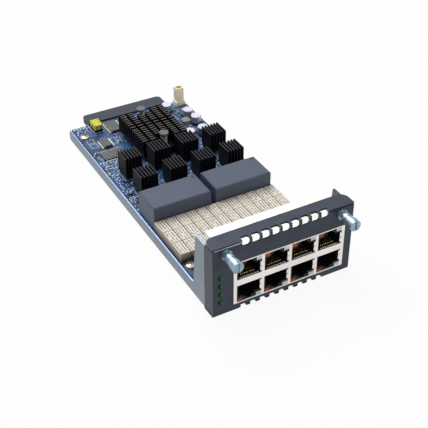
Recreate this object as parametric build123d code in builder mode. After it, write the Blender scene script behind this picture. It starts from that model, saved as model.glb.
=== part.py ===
"""Eight-port ethernet network module: a slide-in tray with a folded front panel, a board full of relays,
magnetics and finned heat sinks, and a stacked two-by-four jack block. Millimetres. X runs to the right seen
from the front, +Y to the rear, +Z up. The origin is the centre of the tray's underside."""

from build123d import *
import os

os.makedirs("parts", exist_ok=True)

# Whole module
width = 78.0
depth = 182.0
panel_height = 41.0
assembly_gap = 0.3
running_gap = 0.05
hidden_sides = 12

# Tray sheet
tray_sheet = 1.0
tray_bend = 1.4
wall_height = 7.2
ear_drop = 2.2
ear_top_reach = 16.6
ear_foot_reach = 19.4
ear_foot_radius = 2.0
tray_heel_length = 3.8
tray_heel_height = 1.6

# Front panel sheet
panel_sheet = 1.2
panel_bend = 0.4
fold_groove_drop = 0.5
fold_groove_height = 0.45
fold_groove_depth = 0.6
fold_groove_slant = 0.3
top_flange_reach = 9.2
top_flange_corner = 4.4
bottom_flange_reach = 8.4
side_flange_reach = 7.6
side_flange_relief = 0.5

# Vent windows over the top bend and notches over the bottom bend
vent_count = 9
vent_pitch = 5.43
vent_row_centre = 0.6
vent_width = 4.2
vent_drop = 3.7
vent_reach = 3.0
vent_corner = 0.6
notch_row_centre = -0.3
notch_width = 3.4
notch_rise = 2.2
notch_reach = 4.4

# Main board
board_top = 7.5
board_thickness = 1.6
board_front_gap = 3.0
board_rear_gap = 0.6
board_edge_gap = 0.4

# Board fasteners
fastener_front_edge = 31.6
fastener_rear_edge = 13.0
fastener_side_edge = 5.0
standoff_across = 4.6
standoff_bore = 1.3
standoff_shank_across = 4.0
screw_shank_radius = 1.2
screw_shank_length = 5.0
screw_head_radius = 2.7
screw_head_height = 2.0
screw_recess_width = 0.9
screw_recess_depth = 1.1
screw_recess_span = 3.2
screw_head_chamfer = 0.9

# Rear edge contacts and their cap
tongue_width = 49.6
tongue_centre = -0.1
tongue_reach = 9.0
cap_wall = 0.9
cap_side_wall = 1.6
cap_end_wall = 1.4
cap_corner = 2.6

# Jack block
jack_left_edge = 11.15
jack_right_edge = 4.45
jack_end_margin = 1.0
jack_bottom = 4.2
jack_height = 24.9
jack_depth = 28.0
jack_proud = 0.3
shield_sheet = 0.4
port_columns = 4
window_bar = 1.5
window_inner = 1.8
window_outer = 11.9
port_width = 11.8
port_height = 6.7
port_row_offset = 2.2
port_depth = 13.0
latch_width = 6.2
latch_height = 1.3
latch_tip_width = 3.2
latch_tip_height = 1.0
contact_count = 8
contact_pitch = 1.02
contact_size = 0.4
contact_start = 3.4
contact_end = 10.4
contact_rise = 1.2
port_led_width = 2.9
port_led_height = 2.0
port_led_depth = 3.0
jack_tail_count = 16
jack_tail_height = 5.0
jack_tail_reach = 1.2

# Status lights
status_count = 4
status_pitch = 4.95
status_side_edge = 4.35
status_low = 8.05
status_hole_radius = 1.6
status_lens_radius = 1.4
status_lens_proud = 0.5
status_lens_chamfer = 0.4
holder_width = 4.0
holder_depth = 5.2
holder_margin = 2.4

# Captive thumbscrews
thumb_side_edge = 7.0
thumb_drop = 4.5
ferrule_flange_radius = 2.8
ferrule_flange_proud = 1.2
ferrule_sleeve_radius = 2.3
ferrule_sleeve_reach = 3.0
thumb_neck_radius = 1.65
thumb_travel = 2.0
thumb_collar_radius = 2.6
thumb_collar_length = 4.0
thumb_groove_radius = 2.2
thumb_groove_length = 0.7
thumb_head_radius = 3.0
thumb_head_length = 3.6
thumb_head_chamfer = 0.4
thumb_slot_width = 0.9
thumb_slot_depth = 1.3
thumb_thread_radius = 1.45
thumb_thread_length = 6.8
ring_outer_radius = 2.3
ring_thickness = 0.6
ring_seat_radius = 1.15
ring_mouth = 1.6

# Signal relays
relay_columns = 12
relay_left_edge = 1.45
relay_right_edge = 4.55
relay_gap = 0.3
relay_pitch_y = 10.2
relay_length = 10.0
relay_height = 5.65
relay_first_row = 40.7
relay_edge = 0.35

# Magnetics
magnetics_left_edge = 1.85
magnetics_right_edge = 5.65
magnetics_gap = 3.3
magnetics_length = 18.4
magnetics_height = 13.5
magnetics_centre_y = 75.9
magnetics_edge = 0.5
magnetics_dimple_radius = 1.1
magnetics_dimple_inset = 2.6
magnetics_dimple_depth = 0.3
magnetics_lead_count = 12
magnetics_lead_pitch = 2.54
magnetics_lead_width = 0.6
magnetics_lead_reach = 0.5
magnetics_lead_height = 2.0

# Small heat sinks over the port controllers
sink_columns = 4
sink_rows = 2
sink_left_edge = 4.4
sink_right_edge = 2.0
sink_main_gap = 1.55
sink_width = 10.2
sink_length = 10.8
sink_height = 12.3
sink_base = 1.6
sink_fins = 6
sink_fin = 0.8
controller_size = 9.6
controller_height = 1.2

# Main heat sink over the switch chip
main_sink_width = 28.4
main_sink_length = 34.5
main_sink_height = 11.0
main_sink_base = 2.4
main_sink_rear_edge = 36.4
main_fin_columns = 6
main_fin_half_rows = 7
main_fin_middle_gap = 2.2
main_fin_width = 3.4
main_fin_thickness = 0.9
main_notch_width = 8.8
main_notch_length = 4.0
switch_size = 21.0
switch_height = 2.5
push_pin_edge = 1.65
push_pin_head_radius = 2.7
push_pin_head_height = 1.2
push_pin_radius = 1.3
push_pin_barb_radius = 1.9
push_pin_barb_height = 1.6
push_pin_rise = 1.3

# Electrolytic capacitors
can_radius = 3.15
can_height = 4.4
can_edge = 0.35
can_base_height = 0.9
can_base_size = 6.6
can_base_chamfer = 1.2
can_places = [(16.2, 8.8), (7.3, 20.6), (6.4, 29.4), (8.9, 42.9), (17.8, 43.4)]

# Power parts at the rear right
inductor_size = 5.0
inductor_height = 3.0
inductor_chamfer = 0.8
inductor_place = (12.5, 27.5)
power_base_width = 6.2
power_base_length = 5.0
power_base_height = 2.2
power_tower_width = 4.9
power_tower_length = 4.4
power_tower_height = 11.6
power_tower_wall = 0.7
power_header_place = (4.9, 3.3)
power_pin_pitch = 2.5
power_pin_size = 0.64
power_pin_height = 9.6

# Jumper header
jumper_rows = 3
jumper_pitch = 2.54
jumper_base_height = 1.7
jumper_pin_size = 0.64
jumper_pin_height = 4.3
jumper_cap_height = 3.1
jumper_cap_gap = 0.14
jumper_cap_hole = 1.1
jumper_cap_hole_depth = 1.0
jumper_place = (15.05, 7.2)

# Leaded chips
lead_width = 0.42
lead_foot = 0.9
lead_height = 0.9
logic_chip_width = 4.4
logic_chip_length = 10.0
logic_chip_height = 1.6
logic_chip_place = (13.4, 25.0)
logic_lead_count = 8
logic_lead_pitch = 1.27
memory_chip_width = 14.4
memory_chip_length = 8.2
memory_chip_height = 1.2
memory_chip_place = (12.6, 38.0)
memory_lead_count = 14
memory_lead_pitch = 1.0
bus_chip_width = 6.4
bus_chip_length = 12.4
bus_chip_height = 1.3
bus_chip_place = (25.0, 9.6)
bus_lead_count = 12
bus_lead_pitch = 1.0

front = -depth / 2
rear = depth / 2
half_width = width / 2
tray_half = half_width
board_bottom = board_top - board_thickness
board_half = tray_half - tray_sheet - board_edge_gap
board_front = front + board_front_gap
board_rear = rear - board_rear_gap
ear_height = panel_height - ear_drop
thumb_height = panel_height - thumb_drop
thumb_side = half_width - thumb_side_edge
status_side = half_width - status_side_edge
fastener_side = half_width - fastener_side_edge
jack_width = width - jack_left_edge - jack_right_edge
jack_centre = (jack_left_edge - jack_right_edge) / 2
port_pitch = (jack_width - 2 * jack_end_margin) / port_columns
window_width = port_pitch - window_bar
relay_pitch_x = (width - relay_left_edge - relay_right_edge) / relay_columns
relay_width = relay_pitch_x - relay_gap
relay_centre_x = (relay_left_edge - relay_right_edge) / 2
magnetics_width = (width - magnetics_left_edge - magnetics_right_edge - magnetics_gap) / 2
magnetics_split = magnetics_width + magnetics_gap
magnetics_centre_x = (magnetics_left_edge - magnetics_right_edge) / 2
jack_middle = jack_bottom + jack_height / 2
BASE = (Align.CENTER, Align.CENTER, Align.MIN)
TOP = (Align.CENTER, Align.CENTER, Align.MAX)


def finish(builder, name):
    """Names a finished piece and writes it."""
    builder.part.label = name
    export_step(builder.part, f"parts/{name}.step")


def from_corner(place, side):
    """Turns a place measured from the side (-1 left, 1 right) and the rear into the part's frame."""
    return (side * (half_width - place[0]), rear - place[1])


fastener_places = [
    (x, y)
    for x in (-fastener_side, fastener_side)
    for y in (front + fastener_front_edge, rear - fastener_rear_edge)
]
main_centre = (0, rear - main_sink_rear_edge)
push_pin_pitch = main_sink_length - 2 * push_pin_edge
can_points = [from_corner(place, 1) for place in can_places]
power_point = from_corner(power_header_place, 1)
jumper_point = from_corner(jumper_place, -1)
logic_point = from_corner(logic_chip_place, -1)
memory_point = from_corner(memory_chip_place, -1)
bus_point = from_corner(bus_chip_place, -1)
port_centres = [jack_centre + (i - (port_columns - 1) / 2) * port_pitch for i in range(port_columns)]
vent_steps = [(i - (vent_count - 1) / 2) * vent_pitch for i in range(vent_count)]

# Ears of the tray: each plate stands flush behind the panel's side flange, then steps inward to a tab inside it
tray_front = front + bottom_flange_reach + assembly_gap
tab_front = front + panel_sheet + assembly_gap
tab_face = half_width - panel_sheet - running_gap
ear_step = front + side_flange_reach + assembly_gap
ear_rear = front + ear_foot_reach + ear_foot_radius
with BuildPart() as ears:
    with BuildSketch(Plane.YZ):
        with BuildLine():
            Polyline(
                (tab_front, panel_sheet + assembly_gap),
                (tab_front, ear_height),
                (front + ear_top_reach, ear_height),
                (front + ear_foot_reach, wall_height + ear_foot_radius),
                (front + ear_foot_reach + ear_foot_radius, wall_height),
                (front + ear_foot_reach + ear_foot_radius, tray_bend),
                (tray_front, tray_bend),
                (tray_front, panel_sheet + assembly_gap),
                close=True,
            )
        make_face()
    extrude(amount=half_width)
    with BuildSketch(Plane.XY):
        with BuildLine():
            Polyline(
                (tab_face - tray_sheet, tab_front),
                (tab_face, tab_front),
                (tab_face, ear_step),
                (tray_half, ear_step),
                (tray_half, ear_rear),
                (tray_half - tray_sheet, ear_rear),
                (tray_half - tray_sheet, ear_step + tray_sheet),
                (tab_face - tray_sheet, ear_step + tray_sheet),
                close=True,
            )
        make_face()
    extrude(amount=panel_height, mode=Mode.INTERSECT)
    mirror(about=Plane.YZ)

# Tray: one folded sheet with two low side walls, each rising into an ear behind the panel
with BuildPart() as tray:
    with BuildSketch(Plane.XZ.offset(-rear)):
        Rectangle(2 * tray_half, wall_height, align=(Align.CENTER, Align.MIN))
        fillet(vertices().group_by(Axis.Z)[0], radius=tray_bend)
        with Locations((0, tray_sheet)):
            Rectangle(
                2 * (tray_half - tray_sheet),
                wall_height,
                align=(Align.CENTER, Align.MIN),
                mode=Mode.SUBTRACT,
            )
    extrude(amount=rear - tray_front)
    # The lower rear edge is cut back on a slant
    with BuildSketch(Plane.YZ.offset(-tray_half)):
        with BuildLine():
            Polyline(
                (rear, 0),
                (rear, tray_heel_height),
                (rear - tray_heel_length, 0),
                close=True,
            )
        make_face()
    extrude(amount=2 * tray_half, mode=Mode.SUBTRACT)
    add(ears.part)
    with BuildSketch(Plane.XY):
        with Locations(*fastener_places):
            RegularPolygon(standoff_shank_across / 2 + running_gap, 6, major_radius=False)
    extrude(amount=tray_sheet, mode=Mode.SUBTRACT)
finish(tray, "tray")
# Front panel: face, top and bottom flanges from one C section with a fine groove just under the upper fold,
# then the two side flanges
groove_top = panel_height - fold_groove_drop
with BuildPart() as front_panel:
    with BuildSketch(Plane.YZ.offset(-half_width)):
        with Locations((front, 0)):
            Rectangle(top_flange_reach, panel_height, align=(Align.MIN, Align.MIN))
        chamfer(vertices().group_by(Axis.Y)[0], length=panel_bend)
        with Locations((front + panel_sheet, panel_sheet)):
            Rectangle(
                top_flange_reach,
                panel_height - 2 * panel_sheet,
                align=(Align.MIN, Align.MIN),
                mode=Mode.SUBTRACT,
            )
        with Locations((front + bottom_flange_reach, 0)):
            Rectangle(top_flange_reach, panel_sheet, align=(Align.MIN, Align.MIN), mode=Mode.SUBTRACT)
        with BuildLine():
            Polyline(
                (front, groove_top),
                (front + fold_groove_depth, groove_top),
                (front + fold_groove_depth, groove_top - fold_groove_height),
                (front, groove_top - fold_groove_height - fold_groove_slant),
                close=True,
            )
        make_face(mode=Mode.SUBTRACT)
    extrude(amount=width)
    flange_corners = edges().filter_by(Axis.Z).group_by(Axis.Y)[-1]
    fillet(flange_corners, radius=top_flange_corner)
    side_flange_top = panel_height - panel_sheet - side_flange_relief
    with BuildSketch(Plane.YZ.offset(half_width - panel_sheet)):
        with Locations((front + panel_sheet, panel_sheet + side_flange_relief)):
            Rectangle(
                side_flange_reach - panel_sheet,
                side_flange_top - panel_sheet - side_flange_relief,
                align=(Align.MIN, Align.MIN),
            )
    extrude(amount=panel_sheet)
    mirror(about=Plane.YZ)
    # Vent windows: rounded openings that run over the top bend
    with BuildSketch(Plane.XZ.offset(-front - panel_sheet)):
        with Locations(*[(vent_row_centre + x, panel_height - vent_drop) for x in vent_steps]):
            Rectangle(vent_width, panel_height, align=(Align.CENTER, Align.MIN))
        chamfer(vertices().group_by(Axis.Z)[0], length=vent_corner)
    extrude(amount=2 * panel_sheet, mode=Mode.SUBTRACT)
    with BuildSketch(Plane.XY.offset(panel_height - panel_sheet)):
        with Locations(*[(vent_row_centre + x, front + vent_reach) for x in vent_steps]):
            Rectangle(vent_width, 2 * vent_reach, align=(Align.CENTER, Align.MAX))
        chamfer(vertices().group_by(Axis.Y)[-1], length=vent_corner)
    extrude(amount=2 * panel_sheet, mode=Mode.SUBTRACT)
    # Notches over the bottom bend leave a row of teeth
    with Locations(*[(notch_row_centre + x, front - panel_sheet, 0) for x in vent_steps]):
        Box(
            notch_width,
            panel_sheet + notch_reach,
            notch_rise,
            align=(Align.CENTER, Align.MIN, Align.MIN),
            mode=Mode.SUBTRACT,
        )
    # Opening for the jack block
    with BuildSketch(Plane.XZ.offset(-front - panel_sheet)):
        with Locations((jack_centre, jack_middle)):
            Rectangle(jack_width + 2 * assembly_gap, jack_height + 2 * assembly_gap)
        with Locations(*[(-status_side, status_low + i * status_pitch) for i in range(status_count)]):
            Circle(status_hole_radius)
        with Locations((-thumb_side, thumb_height), (thumb_side, thumb_height)):
            RegularPolygon(ferrule_sleeve_radius, hidden_sides, major_radius=False)
    extrude(amount=2 * panel_sheet, mode=Mode.SUBTRACT)
finish(front_panel, "front_panel")

# Main board: sunk jack notch in front, tongue of edge contacts behind
with BuildPart() as main_board:
    with BuildSketch(Plane.XY.offset(board_bottom)):
        with Locations((0, board_front)):
            Rectangle(2 * board_half, board_rear - board_front, align=(Align.CENTER, Align.MIN))
        with Locations((jack_centre, front)):
            Rectangle(
                jack_width + 2 * assembly_gap,
                jack_depth + assembly_gap,
                align=(Align.CENTER, Align.MIN),
                mode=Mode.SUBTRACT,
            )
        for side in (-1, 1):
            with Locations((side * (tab_face - tray_sheet - board_edge_gap + half_width / 2), front)):
                Rectangle(
                    half_width,
                    side_flange_reach + tray_sheet + 2 * assembly_gap,
                    align=(Align.CENTER, Align.MIN),
                    mode=Mode.SUBTRACT,
                )
        with Locations((tongue_centre, board_rear)):
            Rectangle(tongue_width, tongue_reach, align=(Align.CENTER, Align.MIN))
        with Locations(*fastener_places):
            RegularPolygon(screw_shank_radius + assembly_gap, hidden_sides, mode=Mode.SUBTRACT)
        with Locations(main_centre):
            with GridLocations(0, push_pin_pitch, 1, 2):
                RegularPolygon(push_pin_radius + assembly_gap, hidden_sides, mode=Mode.SUBTRACT)
    extrude(amount=board_thickness)
finish(main_board, "main_board")

# Cap pushed over the rear edge contacts
cap_depth = tongue_reach + cap_end_wall
cap_front = board_rear + assembly_gap
with BuildPart() as edge_cap:
    with BuildSketch(Plane.XY.offset(board_bottom - cap_wall - running_gap)):
        with Locations((tongue_centre, cap_front)):
            Rectangle(
                tongue_width + 2 * cap_side_wall,
                cap_depth,
                align=(Align.CENTER, Align.MIN),
            )
        fillet(vertices().group_by(Axis.Y)[-1], radius=cap_corner)
    extrude(amount=board_thickness + 2 * (cap_wall + running_gap))
    with Locations((tongue_centre, cap_front, board_bottom - running_gap)):
        Box(
            tongue_width + 2 * running_gap,
            tongue_reach,
            board_thickness + 2 * running_gap,
            align=(Align.CENTER, Align.MIN, Align.MIN),
            mode=Mode.SUBTRACT,
        )
finish(edge_cap, "edge_cap")

# Standoffs pressed into the tray floor
with BuildPart() as standoffs:
    with BuildSketch(Plane.XY.offset(tray_sheet)):
        with Locations(*fastener_places):
            RegularPolygon(standoff_across / 2, 6, major_radius=False)
    extrude(amount=board_bottom - tray_sheet)
    with BuildSketch(Plane.XY):
        with Locations(*fastener_places):
            RegularPolygon(standoff_shank_across / 2, 6, major_radius=False)
    extrude(amount=tray_sheet)
    with BuildSketch(Plane.XY.offset(tray_sheet)):
        with Locations(*fastener_places):
            RegularPolygon(standoff_bore, hidden_sides)
    extrude(amount=board_bottom - tray_sheet, mode=Mode.SUBTRACT)
finish(standoffs, "standoffs")

# Pan-head screws that hold the board down
with BuildPart() as board_screws:
    with Locations(*[(x, y, board_top) for x, y in fastener_places]):
        Cylinder(screw_head_radius, screw_head_height, align=BASE)
    head_rims = edges().filter_by(GeomType.CIRCLE).group_by(Axis.Z)[-1]
    chamfer(head_rims, length=screw_head_chamfer, length2=2 * screw_head_chamfer)
    with BuildSketch(Plane.XY.offset(board_top)):
        with Locations(*fastener_places):
            RegularPolygon(screw_shank_radius, hidden_sides)
    extrude(amount=-screw_shank_length)
    with Locations(*[(x, y, board_top + screw_head_height) for x, y in fastener_places]):
        Box(screw_recess_span, screw_recess_width, screw_recess_depth, align=TOP, mode=Mode.SUBTRACT)
        Box(screw_recess_width, screw_recess_span, screw_recess_depth, align=TOP, mode=Mode.SUBTRACT)
finish(board_screws, "board_screws")


led_side = (window_width - port_led_width) / 2
led_level = window_outer - port_led_height / 2
led_places = {
    "amber": [(x - led_side, side) for x in port_centres for side in (1, -1)],
    "clear": [(x + led_side, side) for x in port_centres for side in (1, -1)],
}

# Jack shield: thin metal box, open below, with one window for each port cut in its front
shield_front = front - jack_proud
with BuildPart() as jack_shield:
    with Locations((jack_centre, shield_front, jack_bottom)):
        Box(jack_width, jack_depth + jack_proud, jack_height, align=(Align.CENTER, Align.MIN, Align.MIN))
    with Locations((jack_centre, shield_front + shield_sheet, jack_bottom)):
        Box(
            jack_width - 2 * shield_sheet,
            jack_depth + jack_proud - 2 * shield_sheet,
            jack_height - shield_sheet,
            align=(Align.CENTER, Align.MIN, Align.MIN),
            mode=Mode.SUBTRACT,
        )
    with BuildSketch(Plane.XZ.offset(-shield_front - shield_sheet)):
        with Locations((jack_centre, jack_middle)):
            with GridLocations(port_pitch, window_inner + window_outer, port_columns, 2):
                Rectangle(window_width, window_outer - window_inner)
    extrude(amount=shield_sheet, mode=Mode.SUBTRACT)
finish(jack_shield, "jack_shield")

# Jack housing: moulded block with eight plug cavities, each stepped for the plug's latch away from the middle
latch_base = port_row_offset + port_height
mouth_steps = [
    (port_width, port_row_offset, latch_base),
    (latch_width, latch_base, latch_base + latch_height),
    (latch_tip_width, latch_base + latch_height, latch_base + latch_height + latch_tip_height),
]
housing_front = shield_front + shield_sheet
housing_depth = jack_depth + jack_proud - 2 * shield_sheet
with BuildPart() as jack_housing:
    with Locations((jack_centre, housing_front, jack_bottom)):
        Box(
            jack_width - 2 * shield_sheet,
            housing_depth,
            jack_height - shield_sheet,
            align=(Align.CENTER, Align.MIN, Align.MIN),
        )
    with BuildSketch(Plane.XZ.offset(-housing_front - port_depth)):
        with Locations((jack_centre, jack_middle)):
            for step_width, inner, outer in mouth_steps:
                with GridLocations(port_pitch, inner + outer, port_columns, 2):
                    Rectangle(step_width, outer - inner)
    extrude(amount=port_depth, mode=Mode.SUBTRACT)
    for colour in led_places:
        led_pockets = [(x, housing_front, jack_middle + side * led_level) for x, side in led_places[colour]]
        with Locations(*led_pockets):
            Box(
                port_led_width,
                port_led_depth,
                port_led_height,
                align=(Align.CENTER, Align.MIN, Align.CENTER),
                mode=Mode.SUBTRACT,
            )
finish(jack_housing, "jack_housing")

# Port lights beside each latch step
for colour, places in led_places.items():
    with BuildPart() as port_leds:
        with Locations(*[(x, shield_front, jack_middle + side * led_level) for x, side in places]):
            Box(
                port_led_width,
                port_led_depth + shield_sheet,
                port_led_height,
                align=(Align.CENTER, Align.MIN, Align.CENTER),
            )
    finish(port_leds, f"port_leds_{colour}")

# Sprung contact wires along the inner side of every cavity
with BuildPart() as port_contacts:
    for side in (1, -1):
        wall = jack_middle + side * port_row_offset
        for x in port_centres:
            for i in range(contact_count):
                offset_x = (i - (contact_count - 1) / 2) * contact_pitch
                with BuildSketch(Plane.YZ.offset(x + offset_x - contact_size / 2)):
                    with BuildLine():
                        Polyline(
                            (front + contact_start, wall),
                            (front + contact_end, wall + side * contact_rise),
                            (front + contact_end, wall + side * (contact_rise + contact_size)),
                            (front + contact_start, wall + side * contact_size),
                            close=True,
                        )
                    make_face()
                extrude(amount=contact_size)
finish(port_contacts, "port_contacts")

# Solder tails behind the jack block, bent down into the board
tail_pitch = (jack_width - 4 * shield_sheet) / jack_tail_count
tail_back = front + jack_depth + jack_tail_reach
with BuildPart() as jack_tails:
    with BuildSketch(Plane.YZ.offset(-contact_size / 2)) as tail_side:
        with BuildLine():
            Polyline(
                (front + jack_depth, board_top + jack_tail_height),
                (tail_back, board_top + jack_tail_height),
                (tail_back, board_top),
                (tail_back - contact_size, board_top),
                (tail_back - contact_size, board_top + jack_tail_height - contact_size),
                (front + jack_depth, board_top + jack_tail_height - contact_size),
                close=True,
            )
        make_face()
    tail = extrude(tail_side.sketch, amount=contact_size, mode=Mode.PRIVATE)
    with Locations((jack_centre, 0)):
        with GridLocations(tail_pitch, 0, jack_tail_count, 1):
            add(tail)
finish(jack_tails, "jack_tails")

# Status lights: four lenses on a holder that stands on the board behind the panel
status_levels = [status_low + i * status_pitch for i in range(status_count)]
holder_front = front + panel_sheet + assembly_gap
with BuildPart() as status_holder:
    with Locations((-status_side, holder_front, board_top)):
        Box(
            holder_width,
            holder_depth,
            status_levels[-1] + holder_margin - board_top,
            align=(Align.CENTER, Align.MIN, Align.MIN),
        )
finish(status_holder, "status_holder")

with BuildPart() as status_lights:
    lens_axes = [Plane((-status_side, holder_front, level), z_dir=(0, -1, 0)) for level in status_levels]
    with Locations(*[Location(axis) for axis in lens_axes]):
        Cylinder(status_lens_radius, holder_front - front + status_lens_proud, align=BASE)
    chamfer(edges().filter_by(GeomType.CIRCLE).group_by(Axis.Y)[0], length=status_lens_chamfer)
finish(status_lights, "status_lights")

# Captive thumbscrews: ferrule in the panel, screw through it, snap ring behind
thumb_collar_front = -(ferrule_flange_proud + thumb_travel + assembly_gap)
ring_front = ferrule_sleeve_reach + assembly_gap
thread_start = ring_front + ring_thickness + assembly_gap


def turned(points, origin):
    """Turns a profile of (radius, distance behind the panel face) points about the screw's axis."""
    with BuildSketch(Plane(origin, x_dir=(1, 0, 0), z_dir=(0, 0, 1))) as profile:
        with BuildLine():
            Polyline(*points, close=True)
        make_face()
    revolve(profile.sketch, axis=Axis(origin, (0, 1, 0)))


for side, name in ((-1, "left"), (1, "right")):
    origin = (side * thumb_side, front, thumb_height)
    with BuildPart() as ferrule:
        turned(
            [
                (thumb_neck_radius + running_gap, -ferrule_flange_proud),
                (ferrule_flange_radius, -ferrule_flange_proud),
                (ferrule_flange_radius, 0),
                (ferrule_sleeve_radius, 0),
                (ferrule_sleeve_radius, ferrule_sleeve_reach),
                (thumb_neck_radius + running_gap, ferrule_sleeve_reach),
            ],
            origin,
        )
    finish(ferrule, f"{name}_ferrule")

    groove_front = thumb_collar_front - thumb_collar_length
    head_back = groove_front - thumb_groove_length
    head_front = head_back - thumb_head_length
    with BuildPart() as thumbscrew:
        turned(
            [
                (0, head_front),
                (thumb_head_radius - thumb_head_chamfer, head_front),
                (thumb_head_radius, head_front + thumb_head_chamfer),
                (thumb_head_radius, head_back),
                (thumb_groove_radius, head_back),
                (thumb_groove_radius, groove_front),
                (thumb_collar_radius, groove_front),
                (thumb_collar_radius, thumb_collar_front),
                (thumb_neck_radius, thumb_collar_front),
                (thumb_neck_radius, ring_front - assembly_gap),
                (ring_seat_radius, ring_front - assembly_gap),
                (ring_seat_radius, thread_start),
                (thumb_thread_radius, thread_start),
                (thumb_thread_radius, thread_start + thumb_thread_length),
                (0, thread_start + thumb_thread_length),
            ],
            origin,
        )
        with Locations((origin[0], front + head_front, thumb_height)):
            Box(
                thumb_slot_width,
                thumb_slot_depth,
                2 * thumb_head_radius,
                align=(Align.CENTER, Align.MIN, Align.CENTER),
                mode=Mode.SUBTRACT,
            )
    finish(thumbscrew, f"{name}_thumbscrew")

    with BuildPart() as retaining_ring:
        ring_plane = Plane((origin[0], front + ring_front, thumb_height), x_dir=(1, 0, 0), z_dir=(0, 1, 0))
        with BuildSketch(ring_plane):
            Circle(ring_outer_radius)
            Circle(ring_seat_radius + running_gap, mode=Mode.SUBTRACT)
            Rectangle(ring_mouth, ring_outer_radius, align=(Align.CENTER, Align.MIN), mode=Mode.SUBTRACT)
        extrude(amount=ring_thickness)
    finish(retaining_ring, f"{name}_retaining_ring")

# Relays: three rows of sealed signal relays
for row, name in enumerate(("front", "middle", "rear")):
    row_y = front + relay_first_row + row * relay_pitch_y
    with BuildPart() as relays:
        with Locations((relay_centre_x, row_y, board_top)):
            with GridLocations(relay_pitch_x, 0, relay_columns, 1):
                Box(relay_width, relay_length, relay_height, align=BASE)
        chamfer(faces().sort_by(Axis.Z)[-relay_columns:].edges(), length=relay_edge)
    finish(relays, f"relays_{name}")

# Magnetics: two potted boxes with gull-wing leads along both long sides
for side, name in ((-1, "left"), (1, "right")):
    centre_x = magnetics_centre_x + side * magnetics_split / 2
    with BuildPart() as magnetics:
        with Locations((centre_x, front + magnetics_centre_y, board_top)):
            Box(magnetics_width, magnetics_length, magnetics_height, align=BASE)
        chamfer(edges().group_by(Axis.Z)[-1], length=magnetics_edge)
        dimple_x = centre_x + magnetics_width / 2 - magnetics_dimple_inset
        dimple_y = front + magnetics_centre_y + magnetics_length / 2 - magnetics_dimple_inset
        with Locations((dimple_x, dimple_y, board_top + magnetics_height)):
            Cylinder(magnetics_dimple_radius, magnetics_dimple_depth, align=TOP, mode=Mode.SUBTRACT)
    finish(magnetics, f"magnetics_{name}")

with BuildPart() as magnetics_leads:
    for side in (-1, 1):
        for edge in (-1, 1):
            lead_y = front + magnetics_centre_y + edge * (magnetics_length + magnetics_lead_reach) / 2
            with Locations((magnetics_centre_x + side * magnetics_split / 2, lead_y, board_top)):
                with GridLocations(magnetics_lead_pitch, 0, magnetics_lead_count, 1):
                    Box(magnetics_lead_width, magnetics_lead_reach, magnetics_lead_height, align=BASE)
finish(magnetics_leads, "magnetics_leads")

# Port controllers and their finned heat sinks
sink_pitch_x = (width - sink_left_edge - sink_right_edge) / sink_columns
sink_centre_x = (sink_left_edge - sink_right_edge) / 2
sinks_front = front + magnetics_centre_y + magnetics_length / 2 + magnetics_lead_reach
sinks_rear = main_centre[1] - main_sink_length / 2 - sink_main_gap
sink_pitch_y = (sinks_rear - sinks_front) / sink_rows
sink_levels = [sinks_rear - sink_length / 2 - row * sink_pitch_y for row in reversed(range(sink_rows))]
sink_places = [
    (sink_centre_x + (i - (sink_columns - 1) / 2) * sink_pitch_x, y)
    for y in sink_levels
    for i in range(sink_columns)
]
with BuildPart() as controllers:
    with Locations(*[(x, y, board_top) for x, y in sink_places]):
        Box(controller_size, controller_size, controller_height, align=BASE)
finish(controllers, "port_controllers")

sink_bottom = board_top + controller_height
fin_pitch = (sink_width - sink_fin) / (sink_fins - 1)
fin_gap = fin_pitch - sink_fin
for number, (x, y) in enumerate(sink_places, start=1):
    with BuildPart() as small_sink:
        with Locations((x, y, sink_bottom)):
            Box(sink_width, sink_length, sink_height, align=BASE)
        with Locations((x, y, sink_bottom + sink_base)):
            with GridLocations(fin_pitch, 0, sink_fins - 1, 1):
                Box(fin_gap, sink_length, sink_height, align=BASE, mode=Mode.SUBTRACT)
    finish(small_sink, f"port_heat_sink_{number}")

# Switch chip under the main heat sink
with BuildPart() as switch_chip:
    with Locations((*main_centre, board_top)):
        Box(switch_size, switch_size, switch_height, align=BASE)
finish(switch_chip, "switch_chip")

# Main heat sink: short cross-cut fins on a plate, left out round the two push pins
main_bottom = board_top + switch_height
main_top = main_bottom + main_sink_height
column_pitch = (main_sink_width - main_fin_width) / (main_fin_columns - 1)
half_rows = (main_sink_length - main_fin_thickness) / 2 - main_fin_middle_gap
row_pitch = (half_rows - main_fin_thickness) / (main_fin_half_rows - 1)
with BuildPart() as main_heat_sink:
    with Locations((*main_centre, main_bottom)):
        Box(main_sink_width, main_sink_length, main_sink_base, align=BASE)
    with BuildSketch(Plane.XY.offset(main_bottom + main_sink_base)):
        with Locations(main_centre):
            with GridLocations(column_pitch, 0, main_fin_columns, 1):
                Rectangle(main_fin_width, main_fin_thickness)
                with GridLocations(0, main_sink_length - half_rows, 1, 2):
                    with GridLocations(0, row_pitch, 1, main_fin_half_rows):
                        Rectangle(main_fin_width, main_fin_thickness)
            with GridLocations(0, main_sink_length - main_notch_length, 1, 2):
                Rectangle(main_notch_width, main_notch_length, mode=Mode.SUBTRACT)
    extrude(amount=main_sink_height - main_sink_base)
    with BuildSketch(Plane.XY.offset(main_bottom)):
        with Locations(main_centre):
            with GridLocations(0, push_pin_pitch, 1, 2):
                RegularPolygon(push_pin_radius + assembly_gap, hidden_sides)
    extrude(amount=main_sink_base, mode=Mode.SUBTRACT)
finish(main_heat_sink, "main_heat_sink")

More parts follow.
